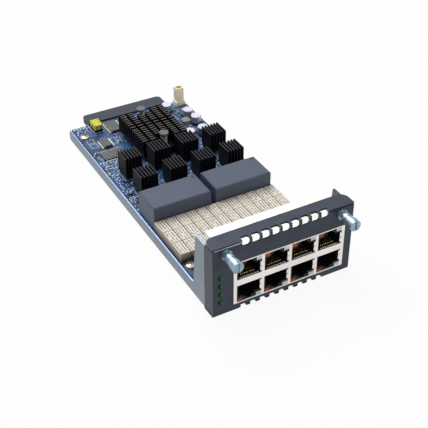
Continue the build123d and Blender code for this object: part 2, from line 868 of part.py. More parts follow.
# Push pins through the heat sink's plate and the board
pin_top = main_top + push_pin_rise
with BuildPart() as push_pins:
    with Locations((*main_centre, pin_top)):
        with GridLocations(0, push_pin_pitch, 1, 2):
            Cylinder(push_pin_head_radius, push_pin_head_height, align=TOP)
    for radius, base, height in (
        (push_pin_radius, board_bottom, pin_top - push_pin_head_height - board_bottom),
        (push_pin_barb_radius, board_bottom - push_pin_barb_height, push_pin_barb_height),
    ):
        with BuildSketch(Plane.XY.offset(base)):
            with Locations(main_centre):
                with GridLocations(0, push_pin_pitch, 1, 2):
                    RegularPolygon(radius, hidden_sides)
        extrude(amount=height)
finish(push_pins, "push_pins")

# Electrolytic cans on their moulded bases
with BuildPart() as capacitor_bases:
    with BuildSketch(Plane.XY.offset(board_top)):
        with Locations(*can_points):
            Rectangle(can_base_size, can_base_size)
        for x, y in can_points:
            corners = vertices().filter_by(lambda v: max(abs(v.X - x), abs(v.Y - y)) < can_base_size)
            chamfer(corners.group_by(Axis.Y)[0], length=can_base_chamfer)
    extrude(amount=can_base_height)
finish(capacitor_bases, "capacitor_bases")

with BuildPart() as capacitor_cans:
    with Locations(*[(x, y, board_top + can_base_height) for x, y in can_points]):
        Cylinder(can_radius, can_height, align=BASE)
    chamfer(edges().filter_by(GeomType.CIRCLE).group_by(Axis.Z)[-1], length=can_edge)
finish(capacitor_cans, "capacitor_cans")

# Power inductor with its corners cut off
with BuildPart() as power_inductor:
    with BuildSketch(Plane.XY.offset(board_top)):
        with Locations(from_corner(inductor_place, 1)):
            Rectangle(inductor_size, inductor_size)
        chamfer(vertices(), length=inductor_chamfer)
    extrude(amount=inductor_height)
finish(power_inductor, "power_inductor")

# Power header: low base with a tall hollow tower round two pins
with BuildPart() as power_header:
    with Locations((*power_point, board_top)):
        Box(power_base_width, power_base_length, power_base_height, align=BASE)
        Box(power_tower_width, power_tower_length, power_tower_height, align=BASE)
    with Locations((*power_point, board_top + power_base_height)):
        Box(
            power_tower_width - 2 * power_tower_wall,
            power_tower_length - 2 * power_tower_wall,
            power_tower_height,
            align=BASE,
            mode=Mode.SUBTRACT,
        )
    with Locations((*power_point, board_top)):
        with GridLocations(power_pin_pitch, 0, 2, 1):
            Box(
                power_pin_size + 2 * running_gap,
                power_pin_size + 2 * running_gap,
                power_base_height,
                align=BASE,
                mode=Mode.SUBTRACT,
            )
finish(power_header, "power_header")

with BuildPart() as power_pins:
    with Locations((*power_point, board_top)):
        with GridLocations(power_pin_pitch, 0, 2, 1):
            Box(power_pin_size, power_pin_size, power_pin_height, align=BASE)
finish(power_pins, "power_pins")

# Jumper header: black base, two columns of pins, one cap across each pair
with BuildPart() as jumper_header:
    with Locations((*jumper_point, board_top)):
        Box(2 * jumper_pitch, jumper_rows * jumper_pitch, jumper_base_height, align=BASE)
    with Locations((*jumper_point, board_top)):
        with GridLocations(jumper_pitch, jumper_pitch, 2, jumper_rows):
            Box(
                jumper_pin_size + 2 * running_gap,
                jumper_pin_size + 2 * running_gap,
                jumper_base_height,
                align=BASE,
                mode=Mode.SUBTRACT,
            )
finish(jumper_header, "jumper_header")

with BuildPart() as jumper_pins:
    with Locations((*jumper_point, board_top)):
        with GridLocations(jumper_pitch, jumper_pitch, 2, jumper_rows):
            Box(jumper_pin_size, jumper_pin_size, jumper_pin_height, align=BASE)
finish(jumper_pins, "jumper_pins")

cap_floor = board_top + jumper_base_height
with BuildPart() as jumper_caps:
    with Locations((*jumper_point, cap_floor)):
        with GridLocations(0, jumper_pitch, 1, jumper_rows):
            Box(
                2 * jumper_pitch - jumper_cap_gap,
                jumper_pitch - jumper_cap_gap,
                jumper_cap_height,
                align=BASE,
            )
        with GridLocations(jumper_pitch, jumper_pitch, 2, jumper_rows):
            Box(
                jumper_pin_size + 2 * running_gap,
                jumper_pin_size + 2 * running_gap,
                jumper_cap_height,
                align=BASE,
                mode=Mode.SUBTRACT,
            )
    with Locations((*jumper_point, cap_floor + jumper_cap_height)):
        with GridLocations(jumper_pitch, jumper_pitch, 2, jumper_rows):
            Box(jumper_cap_hole, jumper_cap_hole, jumper_cap_hole_depth, align=TOP, mode=Mode.SUBTRACT)
finish(jumper_caps, "jumper_caps")


def chip_body(point, size_x, size_y, height):
    """Makes a moulded chip body with its top edges bevelled."""
    with Locations((*point, board_top)):
        Box(size_x, size_y, height, align=BASE)
    chamfer(edges().group_by(Axis.Z)[-1], length=lead_width / 2)


with BuildPart() as logic_chip:
    chip_body(logic_point, logic_chip_width, logic_chip_length, logic_chip_height)
finish(logic_chip, "logic_chip")

with BuildPart() as memory_chip:
    chip_body(memory_point, memory_chip_width, memory_chip_length, memory_chip_height)
finish(memory_chip, "memory_chip")

with BuildPart() as bus_chip:
    chip_body(bus_point, bus_chip_width, bus_chip_length, bus_chip_height)
finish(bus_chip, "bus_chip")

# Leads of the three chips, soldered flat to the board
with BuildPart() as chip_leads:
    for point, size_x, count, pitch in (
        (logic_point, logic_chip_width, logic_lead_count, logic_lead_pitch),
        (bus_point, bus_chip_width, bus_lead_count, bus_lead_pitch),
    ):
        with Locations((*point, board_top)):
            with GridLocations(size_x + lead_foot, pitch, 2, count):
                Box(lead_foot, lead_width, lead_height, align=BASE)
    with Locations((*memory_point, board_top)):
        with GridLocations(memory_lead_pitch, memory_chip_length + lead_foot, memory_lead_count, 2):
            Box(lead_width, lead_foot, lead_height, align=BASE)
finish(chip_leads, "chip_leads")
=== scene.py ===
"""Eight-port ethernet network module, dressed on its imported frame.

Metres; X runs to the right seen from the front, +Y to the rear, +Z up."""

import math
import random

import bpy
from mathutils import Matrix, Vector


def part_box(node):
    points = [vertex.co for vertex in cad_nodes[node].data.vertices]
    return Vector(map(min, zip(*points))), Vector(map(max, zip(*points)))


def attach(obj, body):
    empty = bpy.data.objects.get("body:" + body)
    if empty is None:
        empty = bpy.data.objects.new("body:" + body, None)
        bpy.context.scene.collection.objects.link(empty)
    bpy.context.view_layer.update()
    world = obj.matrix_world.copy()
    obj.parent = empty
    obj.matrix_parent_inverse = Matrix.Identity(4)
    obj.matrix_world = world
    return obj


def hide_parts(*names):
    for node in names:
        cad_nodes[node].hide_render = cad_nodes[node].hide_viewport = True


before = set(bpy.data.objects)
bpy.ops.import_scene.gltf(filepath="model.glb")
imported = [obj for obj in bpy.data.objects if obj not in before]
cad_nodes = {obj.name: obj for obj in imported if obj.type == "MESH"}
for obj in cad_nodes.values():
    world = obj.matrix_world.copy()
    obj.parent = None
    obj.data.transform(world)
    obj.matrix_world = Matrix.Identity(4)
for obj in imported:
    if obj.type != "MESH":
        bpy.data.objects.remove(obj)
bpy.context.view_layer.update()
mm = 0.001

# Studio: a plain pale floor, a wide soft lamp overhead, weaker ones at the left and in front, and the
# camera at the photograph's place and angle. Floor and sky look white to the camera, in reflections and
# through clear parts.
scene = bpy.context.scene
scene.view_settings.view_transform = "Standard"
camera_data = bpy.data.cameras.new("camera")
camera_data.lens = 79.32
camera_data.sensor_width = 36.0
camera = bpy.data.objects.new("camera", camera_data)
camera.location = (-0.196205, -0.382581, 0.306857)
camera.rotation_euler = (math.radians(53.506), math.radians(0.273), math.radians(-28.6835))
scene.collection.objects.link(camera)
scene.camera = camera

for lamp_name, lamp_place, lamp_aim, lamp_size, lamp_power in (
    ("overhead lamp", (-0.1, 0.5, 0.95), (0.0, 0.0, 0.0), 0.9, 12.5),
    ("left lamp", (-0.85, -0.2, 0.7), (0.0, 0.0, 0.02), 0.7, 0.8),
    ("front lamp", (0.5, -0.95, 0.5), (0.0, 0.0, 0.02), 0.7, 3.2),
):
    lamp_data = bpy.data.lights.new(lamp_name, "AREA")
    lamp_data.size = lamp_size
    lamp_data.energy = lamp_power
    lamp = bpy.data.objects.new(lamp_name, lamp_data)
    lamp.location = lamp_place
    toward = [aim - place for aim, place in zip(lamp_aim, lamp_place)]
    flat = math.hypot(toward[0], toward[1])
    tilt, heading = math.atan2(toward[2], flat), math.atan2(-toward[0], toward[1])
    lamp.rotation_euler = (math.pi / 2 + tilt, 0, heading)
    scene.collection.objects.link(lamp)


def fill(socket, value):
    """Sets a socket, or links it where the value is a socket."""
    if isinstance(value, bpy.types.NodeSocket):
        socket.id_data.links.new(value, socket)
    else:
        socket.default_value = value


def tree_of(values):
    """The node tree of the first socket among some values."""
    return next(value.id_data for value in values if isinstance(value, bpy.types.NodeSocket))


def add_node(kind, **inputs):
    """Adds a node to the tree of the sockets that it is given; each input is set or linked."""
    made = tree_of(inputs.values()).nodes.new(kind)
    for name, value in inputs.items():
        fill(made.inputs[name.replace("_", " ")], value)
    return made


def work_out(operation, first, second=0.0):
    """One sum on two numbers, of which one or both are sockets."""
    made = tree_of((first, second)).nodes.new("ShaderNodeMath")
    made.operation = operation
    fill(made.inputs[0], first)
    fill(made.inputs[1], second)
    return made.outputs[0]


def spread(value, low, high, to_low=0.0, to_high=1.0):
    """A number carried from one range to another and held inside it."""
    ends = {"From_Min": low, "From_Max": high, "To_Min": to_low, "To_Max": to_high}
    return add_node("ShaderNodeMapRange", Value=value, **ends).outputs["Result"]


def product(first, *others):
    """Numbers multiplied together."""
    for other in others:
        first = work_out("MULTIPLY", first, other)
    return first


def seen_white(tree):
    """The share of a background: 1 to camera, glossy and transmission rays, 0 to the light it throws."""
    rays = tree.nodes.new("ShaderNodeLightPath").outputs
    share = work_out("MAXIMUM", rays["Is Camera Ray"], rays["Is Glossy Ray"])
    return work_out("MAXIMUM", share, rays["Is Transmission Ray"])


world = bpy.data.worlds.new("studio")
scene.world = world
world.use_nodes = True
sky_light = 0.15
background = world.node_tree.nodes["Background"].inputs
fill(background["Strength"], spread(seen_white(world.node_tree), 0.0, 1.0, sky_light, 1.0))
fill(background["Color"], (1.0, 1.0, 1.0, 1.0))

bpy.ops.object.select_all(action="DESELECT")
bpy.ops.mesh.primitive_plane_add(size=8.0)
floor = bpy.context.object
floor.name = "floor"
paper = bpy.data.materials.new("pale floor")
paper.use_nodes = True
floor.data.materials.append(paper)
paper_tree = paper.node_tree
paper_shader = paper_tree.nodes["Principled BSDF"]
fill(paper_shader.inputs["Base Color"], (0.8, 0.8, 0.8, 1.0))
fill(paper_shader.inputs["Roughness"], 0.9)
glow_share = 0.93
paper_mix = paper_tree.nodes.new("ShaderNodeMixShader").inputs
fill(paper_mix[0], product(seen_white(paper_tree), glow_share))
fill(paper_mix[1], paper_shader.outputs[0])
fill(paper_mix[2], paper_tree.nodes.new("ShaderNodeEmission").outputs[0])
fill(paper_tree.nodes["Material Output"].inputs["Surface"], paper_mix[0].node.outputs[0])


# Tray: one folded sheet of plated steel with two low walls and an ear at each side of the panel. The mill's
# rolled lines run from front to rear and handling has left faint cloudy marks. A painted highlight makes the
# upward faces of the upper edges paler, and a painted shade darkens the inside of the right ear.
def tone(red, green, blue):
    """A colour as seen, 0 to 255, as the shader's linear colour."""
    parts = [part / 255 for part in (red, green, blue)]
    return (*[part / 12.92 if part < 0.04045 else ((part + 0.055) / 1.055) ** 2.4 for part in parts], 1.0)


def blend(share, first, second):
    """The mix of two colours by a share from 0 to 1."""
    made = share.id_data.nodes.new("ShaderNodeMix")
    made.data_type = "RGBA"
    for socket, value in zip((made.inputs[0], made.inputs[6], made.inputs[7]), (share, first, second)):
        fill(socket, value)
    return made.outputs[2]


def noise(place, scale, detail):
    """A cloudy number from 0 to 1 over a place."""
    return add_node("ShaderNodeTexNoise", Vector=place, Scale=scale, Detail=detail).outputs["Fac"]


def stretched(place, scale):
    """A place with its three axes scaled apart."""
    return add_node("ShaderNodeMapping", Vector=place, Scale=scale).outputs[0]


def axes_of(vector):
    """The X, Y and Z of a vector."""
    return add_node("ShaderNodeSeparateXYZ", Vector=vector).outputs


def effect(name, colours, numbers=(), vectors=("Place",), outputs=("Colour", "Roughness", "Height")):
    """An empty node group with named sockets; gives its tree, its inputs and its outputs."""
    group = bpy.data.node_groups.new(name, "ShaderNodeTree")
    for kind, sockets in (("Vector", vectors), ("Color", colours), ("Float", numbers)):
        for socket in sockets:
            group.interface.new_socket(name=socket, in_out="INPUT", socket_type="NodeSocket" + kind)
    for socket in outputs:
        kind = "Color" if socket == "Colour" else "Float"
        group.interface.new_socket(name=socket, in_out="OUTPUT", socket_type="NodeSocket" + kind)
    return group, group.nodes.new("NodeGroupInput").outputs, group.nodes.new("NodeGroupOutput").inputs


def roughen(given, put, share):
    """Ends an effect with a roughness between its smooth and its rough value."""
    step = work_out("SUBTRACT", given["Rough"], given["Smooth"])
    fill(put["Roughness"], work_out("ADD", given["Smooth"], work_out("MULTIPLY", step, share)))


def use_effect(tree, group, values):
    """Puts an effect in a material on Object coordinates and sets its inputs."""
    made = tree.nodes.new("ShaderNodeGroup")
    made.node_tree = group
    here = tree.nodes.new("ShaderNodeTexCoord").outputs
    fill(made.inputs["Place"], here["Object"])
    if "Facing" in made.inputs:
        fill(made.inputs["Facing"], here["Normal"])
    for socket, value in values.items():
        fill(made.inputs[socket], value)
    return made.outputs


def material_with(name, group, values, metallic=0.0, bump=0.0, depth=0.02 * mm, coat=0.0, gloss=0.5):
    """A material whose colour, roughness and bump come from one effect."""
    material = bpy.data.materials.new(name)
    material.use_nodes = True
    shader = material.node_tree.nodes["Principled BSDF"].inputs
    fill(shader["Metallic"], metallic)
    fill(shader["Coat Weight"], coat)
    fill(shader["Specular IOR Level"], gloss)
    made = use_effect(material.node_tree, group, values)
    fill(shader["Base Color"], made["Colour"])
    fill(shader["Roughness"], made["Roughness"])
    if bump:
        raised = add_node("ShaderNodeBump", Strength=bump, Distance=depth, Height=made["Height"])
        fill(shader["Normal"], raised.outputs[0])
    return material


def repaint(material, group, **values):
    """Carries a material's colour through one more effect, which changes the tone of some faces."""
    colour = material.node_tree.nodes["Principled BSDF"].inputs["Base Color"]
    values["Plain"] = colour.links[0].from_socket
    fill(colour, use_effect(material.node_tree, group, values)["Colour"])


def wear(material, *names):
    """Gives a finish to whole CAD nodes."""
    for name in names:
        for holder in cad_nodes[name].material_slots:
            holder.material = material


rolled_lines, given, put = effect("rolled lines", ("Plain", "Bright"), ("Smooth", "Rough"))
lines = noise(stretched(given["Place"], (9000, 260, 9000)), 1.0, 3.0)
clouds = noise(given["Place"], 95.0, 4.0)
both = work_out("ADD", spread(lines, 0.35, 0.65, 0.0, 0.55), spread(clouds, 0.35, 0.7, 0.0, 0.45))
fill(put["Colour"], blend(both, given["Plain"], given["Bright"]))
roughen(given, put, both)
fill(put["Height"], lines)


def rolled(name, plain, bright, smooth, rough, **look):
    """A rolled, drawn or extruded metal, between two tones as seen and two roughnesses."""
    values = {"Plain": tone(*plain), "Bright": tone(*bright), "Smooth": smooth, "Rough": rough}
    return material_with(name, rolled_lines, values, **look)


facing_sockets = ("Place", "Facing")
# A painted highlight: faces that look up, above a given height, take a paler tone.
top_highlight, given, put = effect("painted top highlight", ("Plain", "Tip"), ("Above",), facing_sockets, ("Colour",))
high_enough = work_out("GREATER_THAN", axes_of(given["Place"])["Z"], given["Above"])
faces_up = work_out("GREATER_THAN", axes_of(given["Facing"])["Z"], 0.5)
fill(put["Colour"], blend(product(high_enough, faces_up), given["Plain"], given["Tip"]))

# A painted shade: the right ear's inward faces, beyond a given x and above a given height, take a darker
# tone.
ear_inside_shade, given, put = effect(
    "ear inside shade", ("Plain", "Painted"), ("Beyond", "Above"), facing_sockets, ("Colour",)
)
place = axes_of(given["Place"])
far_enough = work_out("GREATER_THAN", place["X"], given["Beyond"])
tall_enough = work_out("GREATER_THAN", place["Z"], given["Above"])
faces_in = work_out("LESS_THAN", axes_of(given["Facing"])["X"], 0.5)
painted = product(far_enough, tall_enough, faces_in)
fill(put["Colour"], blend(painted, given["Plain"], given["Painted"]))

tray_steel = rolled(
    "plated tray sheet", (106, 119, 129), (136, 148, 158), 0.3, 0.48, metallic=0.85, bump=0.25
)
wall_rim = 6.0 * mm
ear_side, ear_foot = 30.0 * mm, 12.0 * mm
repaint(tray_steel, top_highlight, Above=wall_rim, Tip=tone(142, 158, 186))
repaint(tray_steel, ear_inside_shade, Painted=tone(64, 69, 80), Beyond=ear_side, Above=ear_foot)
wear(tray_steel, "tray")

# Front panel: folded sheet in a dark blue-grey paint with a fine sand texture, so its face and its top
# flange reflect softly. A painted shade makes the paint nearly black low on the tabs between the notches,
# where the sheet rolls under.
sand_grain, given, put = effect("sand grain", ("Plain", "Bright"), ("Grain", "Smooth", "Rough"))
grain = noise(given["Place"], given["Grain"], 2.0)
patches = noise(given["Place"], 140.0, 5.0)
both = work_out("ADD", spread(grain, 0.35, 0.7, 0.0, 0.5), spread(patches, 0.35, 0.7, 0.0, 0.5))
fill(put["Colour"], blend(both, given["Plain"], given["Bright"]))
roughen(given, put, patches)
fill(put["Height"], grain)


def grained(name, plain, bright, grain_scale, smooth, rough, **look):
    """A fine-grained finish, such as moulding, paint or solder, between two tones and two roughnesses."""
    values = {"Plain": tone(*plain), "Bright": tone(*bright), "Grain": grain_scale}
    return material_with(name, sand_grain, {**values, "Smooth": smooth, "Rough": rough}, **look)


notch_row_low, notch_row_high = -22.6 * mm, 22.0 * mm
roll_low, roll_high = 1.1 * mm, 2.3 * mm
# A painted shade: below a low height, in the row of notches, the paint turns nearly black.
lower_roll_shade, given, put = effect("lower roll shade", ("Plain", "Shaded"), outputs=("Colour",))
place = axes_of(given["Place"])
past_first = work_out("GREATER_THAN", place["X"], notch_row_low)
before_last = work_out("LESS_THAN", place["X"], notch_row_high)
roll_shade_share = product(spread(place["Z"], roll_low, roll_high, 1.0, 0.0), past_first, before_last)
fill(put["Colour"], blend(roll_shade_share, given["Plain"], given["Shaded"]))
panel_paint = grained(
    "panel paint", (52, 58, 70), (66, 72, 86), 3200.0, 0.32, 0.46, metallic=0.25, bump=0.3, gloss=0.2
)
repaint(panel_paint, lower_roll_shade, Shaded=tone(8, 8, 11))
wear(panel_paint, "front_panel")

# Main board: glass-fibre laminate under blue solder mask. Copper tracks and pours show through it as paler
# lines and areas, and tinned vias as small bright dots.
board_tracks, given, put = effect("board tracks", ("Plain", "Track", "Via"), ("Smooth", "Rough"))


def cells(place, scale, randomness):
    """Uneven cells over a place; gives the node and the three random numbers of each cell."""
    made = add_node("ShaderNodeTexVoronoi", Vector=place, Scale=scale, Randomness=randomness)
    return made, add_node("ShaderNodeSeparateColor", Color=made.outputs["Color"]).outputs


quarters, quarter_kind = cells(given["Place"], 150.0, 0.9)
quarters.distance = "CHEBYCHEV"
tracks_per_metre = 1450.0
place = axes_of(given["Place"])
track_lines = []
for axis in ("X", "Y"):
    steps = work_out("FRACT", product(place[axis], tracks_per_metre))
    track_lines.append(spread(steps, 0.52, 0.6))
which_way = work_out("GREATER_THAN", quarter_kind[0], 0.5)
one_way = product(track_lines[0], which_way)
other_way = product(track_lines[1], work_out("SUBTRACT", 1.0, which_way))
routed = work_out("GREATER_THAN", quarter_kind[1], 0.35)
tracks = product(work_out("ADD", one_way, other_way), routed)
poured = work_out("GREATER_THAN", quarter_kind[2], 0.7)
copper = work_out("MAXIMUM", tracks, product(poured, 0.6))
holes, hole_kind = cells(given["Place"], 460.0, 0.6)
drilled = work_out("GREATER_THAN", hole_kind[0], 0.62)
vias = product(work_out("LESS_THAN", holes.outputs["Distance"], 0.2), drilled)
fill(put["Colour"], blend(vias, blend(copper, given["Plain"], given["Track"]), given["Via"]))
roughen(given, put, copper)
fill(put["Height"], work_out("ADD", copper, vias))

board_low, board_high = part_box("main_board")
board_top = board_high[2]
panel_low, panel_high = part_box("front_panel")
mask_tones = {"Plain": tone(14, 50, 92), "Track": tone(38, 92, 146), "Via": tone(150, 168, 184)}
board_mask = material_with(
    "solder mask",
    board_tracks,
    {**mask_tones, "Smooth": 0.3, "Rough": 0.42},
    bump=0.4,
    depth=0.03 * mm,
    gloss=0.3,
)
wear(board_mask, "main_board")


# Board legend: fine white ink outlines round the larger parts, with short bars beside the small ones. It is
# printed on the mask, and the ink stands a few hundredths of a millimetre above it.
def middle_of(low, high):
    """The point half way between two corners."""
    return [(bottom + top) / 2 for bottom, top in zip(low, high)]


def settled(name, material=None, bevel=0.0):
    """Names the active object, moves its place, turn and size into its mesh, and can bevel and coat it."""
    made = bpy.context.object
    made.name = name
    bpy.ops.object.transform_apply(location=True, rotation=True, scale=True)
    if bevel:
        bpy.ops.object.mode_set(mode="EDIT")
        bpy.ops.mesh.select_all(action="SELECT")
        bpy.ops.mesh.bevel(offset=bevel, segments=1)
        bpy.ops.object.mode_set(mode="OBJECT")
    if material:
        made.data.materials.append(material)
    return made


def block(name, low, high, material, bevel=0.0):
    """A box between two corners."""
    size = [top - bottom for bottom, top in zip(low, high)]
    bpy.ops.object.select_all(action="DESELECT")
    bpy.ops.mesh.primitive_cube_add(size=1.0, location=middle_of(low, high), scale=size)
    return settled(name, material, bevel)


def on_board(across, back):
    """A place measured in millimetres from the panel's left outer corner."""
    return (panel_low[0] + across * mm, panel_low[1] + back * mm)


ink = grained("white ink", (206, 214, 226), (232, 238, 246), 2500.0, 0.5, 0.65)
line_width = 0.22 * mm
ink_height = 0.03 * mm
ink_top = board_top + ink_height


def inked_frame(low, high, clear):
    """Four ink lines round a rectangle, a clearance away from it."""
    left, right = low[0] - clear, high[0] + clear
    near, far = low[1] - clear, high[1] + clear
    edges = (
        ((left, near), (right, near + line_width)),
        ((left, far - line_width), (right, far)),
        ((left, near), (left + line_width, far)),
        ((right - line_width, near), (right, far)),
    )
    return [block("ink line", (*start, board_top), (*end, ink_top), ink) for start, end in edges]


legend_lines = []
for node_name in ("jumper_header", "power_inductor", "power_header"):
    legend_lines += inked_frame(*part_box(node_name), 0.5 * mm)
for number in range(1, 9):
    legend_lines += inked_frame(*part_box(f"port_heat_sink_{number}"), 0.7 * mm)
for corner, opposite in (
    ((3.9, 155.0), (8.3, 160.0)),
    ((3.9, 160.8), (8.3, 165.6)),
    ((17.3, 154.4), (20.6, 161.4)),
):
    legend_lines += inked_frame(on_board(*corner), on_board(*opposite), 0.0)

# Small parts on the board: ceramic capacitors, black resistors and moulded transistors with three legs, all
# soldered on tinned pads. They fill the free places between the larger parts, closest beside the heat sinks
# and the memory chip.
square = 0.5 * mm
clearance = 0.35 * mm
taken = set()


def squares(low, high):
    """The half-millimetre squares that a rectangle covers."""
    return {
        (across_step, back_step)
        for across_step in range(math.floor(low[0] / square), math.ceil(high[0] / square))
        for back_step in range(math.floor(low[1] / square), math.ceil(high[1] / square))
    }


for node_name, node in cad_nodes.items():
    if node_name in ("tray", "front_panel", "main_board", "edge_cap", "standoffs"):
        continue
    for face in node.data.polygons:
        corners = [node.matrix_world @ node.data.vertices[index].co for index in face.vertices]
        if max(corner.z for corner in corners) > board_top:
            low = [min(corner[axis] for corner in corners) - clearance for axis in (0, 1)]
            high = [max(corner[axis] for corner in corners) + clearance for axis in (0, 1)]
            taken |= squares(low, high)

tin = grained("solder tin", (176, 184, 196), (226, 232, 242), 1500.0, 0.25, 0.4, metallic=0.7)
ceramic = grained("capacitor ceramic", (96, 94, 96), (132, 126, 122), 2500.0, 0.4, 0.55)
resistor_black = grained("resistor coat", (26, 27, 32), (44, 46, 54), 2500.0, 0.3, 0.45)


def slab(name, length, breadth, height, material, bevel=0.0):
    """A box that stands on z 0 round the origin."""
    return block(name, (-length / 2, -breadth / 2, 0), (length / 2, breadth / 2, height), material, bevel)


def only(*things):
    """Selects these objects alone, the last one active."""
    bpy.ops.object.select_all(action="DESELECT")
    for thing in things:
        thing.select_set(True)
    bpy.context.view_layer.objects.active = things[-1]


def joined(name, parts):
    """Several modelled objects made one piece at the origin."""
    only(*parts)
    bpy.ops.object.join()
    return settled(name)


def repeated(name, source, places):
    """Copies of one modelled piece, each with its own mesh; a place is x, y, z and its quarter turns."""
    copies = []
    for x, y, z, quarters_turned in places:
        one = source.copy()
        one.data = source.data.copy()
        one.location = (x, y, z)
        one.rotation_euler.z = quarters_turned * math.pi / 2
        scene.collection.objects.link(one)
        copies.append(one)
    bpy.data.objects.remove(source)
    return joined(name, copies)


def fixed(piece, body="module"):
    """The piece rides on its body."""
    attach(piece, body)
    return piece


def end_capped(name, length, breadth, height, coat):
    """One small part lying along X at the origin: a body, two tinned ends round it, and their pads."""
    half = breadth / 2
    end_share = 0.24
    end_start = length / 2 - length * end_share
    parts = [slab("body", 2 * end_start, breadth, height, coat)]
    for side in (-1, 1):
        for part, reach, wide, top, bevel in (
            ("end", length / 2, half, height + 0.03 * mm, 0.06 * mm),
            ("pad", length / 2 + 0.3 * mm, half + 0.08 * mm, 0.04 * mm, 0.0),
        ):
            inner, outer = sorted((side * end_start, side * reach))
            parts.append(block(part, (inner, -wide, 0), (outer, wide, top), tin, bevel))
    return joined(name, parts)


def three_legged():
    """A small transistor at the origin: a moulded body with two legs on one side and one on the other."""
    low, high = (-1.45 * mm, -0.65 * mm, 0.1 * mm), (1.45 * mm, 0.65 * mm, 1.0 * mm)
    parts = [block("body", low, high, resistor_black, 0.12 * mm)]
    for x, side in ((-0.95 * mm, -1), (0.95 * mm, -1), (0.0, 1)):
        near, far = sorted((side * 0.6 * mm, side * 1.25 * mm))
        low, high = (x - 0.22 * mm, near, 0), (x + 0.22 * mm, far, 0.16 * mm)
        parts.append(block("leg", low, high, tin, 0.04 * mm))
    return joined("transistor", parts)


random.seed(7)
zones = (
    ((0.9, 85.9), (8.2, 94.5), 0.9),
    ((0.9, 94.5), (8.0, 116.0), 0.85),
    ((0.9, 116.0), (8.0, 139.6), 0.95),
    ((8.0, 128.0), (24.2, 139.4), 0.9),
    ((8.0, 106.6), (66.0, 115.8), 0.45),
    ((18.6, 86.0), (26.0, 128.0), 0.75),
    ((36.5, 86.0), (44.0, 128.0), 0.75),
    ((54.4, 86.0), (61.8, 128.0), 0.75),
    ((72.4, 86.0), (77.0, 128.0), 0.7),
    ((53.6, 128.0), (77.0, 170.0), 0.7),
    ((1.0, 140.0), (4.9, 152.0), 0.25),
    ((20.8, 154.0), (28.6, 166.4), 0.8),
    ((28.8, 164.0), (70.0, 181.0), 0.5),
    ((1.0, 172.5), (12.0, 181.0), 0.3),
)
found = {"capacitor": [], "resistor": [], "transistor": [], "pad": [], "mark": []}
sizes_of = {
    "capacitor": (2.0 * mm, 1.1 * mm),
    "resistor": (1.5 * mm, 0.8 * mm),
    "transistor": (3.1 * mm, 2.7 * mm),
    "pad": (1.0 * mm, 0.8 * mm),
    "mark": (1.3 * mm, 0.5 * mm),
}
kinds = ("capacitor",) * 5 + ("resistor",) * 2 + ("transistor",) + ("pad",) * 6 + ("mark",) * 8
try_spacing = 1.2 * mm
for corner, opposite, share in zones:
    near, far = on_board(*corner), on_board(*opposite)
    tries = int(share * (far[0] - near[0]) * (far[1] - near[1]) / try_spacing**2)
    for _ in range(tries):
        kind = random.choice(kinds)
        turned = random.choice((0, 0, 1))
        x = round(random.uniform(near[0], far[0]) / square) * square
        y = round(random.uniform(near[1], far[1]) / square) * square
        reach_x, reach_y = sizes_of[kind] if not turned else sizes_of[kind][::-1]
        low, high = (x - reach_x / 2, y - reach_y / 2), (x + reach_x / 2, y + reach_y / 2)
        wanted = squares(low, high)
        inside = low[0] > board_low[0] and high[0] < board_high[0]
        if inside and not wanted & taken:
            taken |= wanted
            found[kind].append((x, y, board_top, turned))

capacitor = end_capped("capacitor", 1.7 * mm, 0.9 * mm, 0.8 * mm, ceramic)
fixed(repeated("ceramic_capacitors", capacitor, found["capacitor"]))
resistor = end_capped("resistor", 1.15 * mm, 0.6 * mm, 0.4 * mm, resistor_black)
fixed(repeated("chip_resistors", resistor, found["resistor"]))
fixed(repeated("transistors", three_legged(), found["transistor"]))
test_pad = slab("pad", 0.8 * mm, 0.6 * mm, 0.04 * mm, tin, 0.015 * mm)
fixed(repeated("test_pads", test_pad, found["pad"]))
edge_pad = slab("edge pad", 1.1 * mm, 1.0 * mm, 0.05 * mm, tin, 0.02 * mm)
edge_pad_places = [(*on_board(2.4 + 2.1 * step, 179.9), board_top, 0) for step in range(5)]
fixed(repeated("edge_pads", edge_pad, edge_pad_places))
marks = repeated("ink marks", slab("mark", 1.0 * mm, 0.32 * mm, ink_height, ink), found["mark"])
fixed(joined("board_legend", [*legend_lines, marks]))

# Board fasteners: steel pan-head screws with a warm passivated skin, driven into brass standoffs. Each sits
# on a bare tinned ring of the board.
brass = rolled("standoff brass", (150, 128, 76), (186, 164, 108), 0.25, 0.4, metallic=1.0)
wear(brass, "standoffs")
warm_screw = rolled("passivated screw", (138, 128, 110), (212, 206, 190), 0.22, 0.38, metallic=0.8)
wear(warm_screw, "board_screws")
bare_pad = grained("bare pad", (96, 106, 120), (136, 146, 160), 1500.0, 0.35, 0.5, gloss=0.3)


def disc(name, sides, radius, depth, material, bevel, **pose):
    """A short cylinder; its pose is a location and a rotation."""
    bpy.ops.object.select_all(action="DESELECT")
    bpy.ops.mesh.primitive_cylinder_add(vertices=sides, radius=radius, depth=depth, **pose)
    return settled(name, material, bevel)


screws_low, screws_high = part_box("board_screws")
head_radius = 2.7 * mm
ring = disc("ring", 32, 3.2 * mm, 0.05 * mm, bare_pad, 0.02 * mm)
ring_places = [
    (x, y, board_top, 0)
    for x in (screws_low[0] + head_radius, screws_high[0] - head_radius)
    for y in (screws_low[1] + head_radius, screws_high[1] - head_radius)
]
fixed(repeated("fastener_pads", ring, ring_places))

# Edge cap: a dark moulded cover, pushed over the contacts at the board's rear end. Its plastic is dull,
# with a fine grain.
cap_plastic = grained(
    "dark cap plastic", (40, 46, 58), (52, 58, 70), 2600.0, 0.45, 0.6, bump=0.3, gloss=0.25
)
wear(cap_plastic, "edge_cap")
